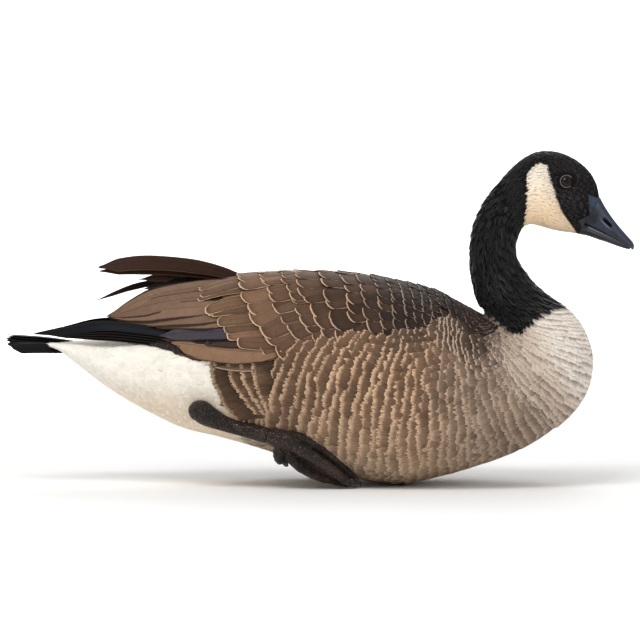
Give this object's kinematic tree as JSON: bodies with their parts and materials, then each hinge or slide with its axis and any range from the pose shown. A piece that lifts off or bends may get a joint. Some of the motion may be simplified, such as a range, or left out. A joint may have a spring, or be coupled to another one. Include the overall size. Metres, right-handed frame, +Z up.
{
  "type": "canada goose",
  "caption": "Life-size still model of a Canada goose resting on its belly, neck arched and bill lowered, wings folded and both webbed feet tucked along its sides.",
  "frame": {"origin": "centre of the bounding box's footprint, on the floor under the belly", "axes": "+X towards the bill, +Y towards the bird's left side, +Z up"},
  "size_m": [0.6261, 0.216, 0.3335],
  "materials": {
    "black_feathers": "soft black plumage with a faint sheen",
    "brown_feathers": "soft brown plumage with pale feather edges, white behind",
    "wing_feathers": "brown wing feathers with pale edges, black at the tips",
    "bill_horn": "smooth black horn with a blue-grey sheen",
    "eye": "wet, dark brown",
    "leg_skin": "fine dark scales",
    "claw_horn": "smooth dark horn"
  },
  "bodies": {
    "root": {"bill_lower": "bill_horn", "bill_upper": "bill_horn", "claw_hind_left": "claw_horn", "claw_hind_right": "claw_horn", "claw_inner_left": "claw_horn", "claw_inner_right": "claw_horn", "claw_middle_left": "claw_horn", "claw_middle_right": "claw_horn", "claw_outer_left": "claw_horn", "claw_outer_right": "claw_horn", "eye_left": "eye", "eye_right": "eye", "foot_left": "leg_skin", "foot_right": "leg_skin", "head": "black_feathers", "neck_base": "black_feathers", "neck_middle": "black_feathers", "neck_top": "black_feathers", "shank_left": "leg_skin", "shank_right": "leg_skin", "tail": "black_feathers", "torso": "brown_feathers", "wing_left": "wing_feathers", "wing_right": "wing_feathers"}
  },
  "joints": []
}
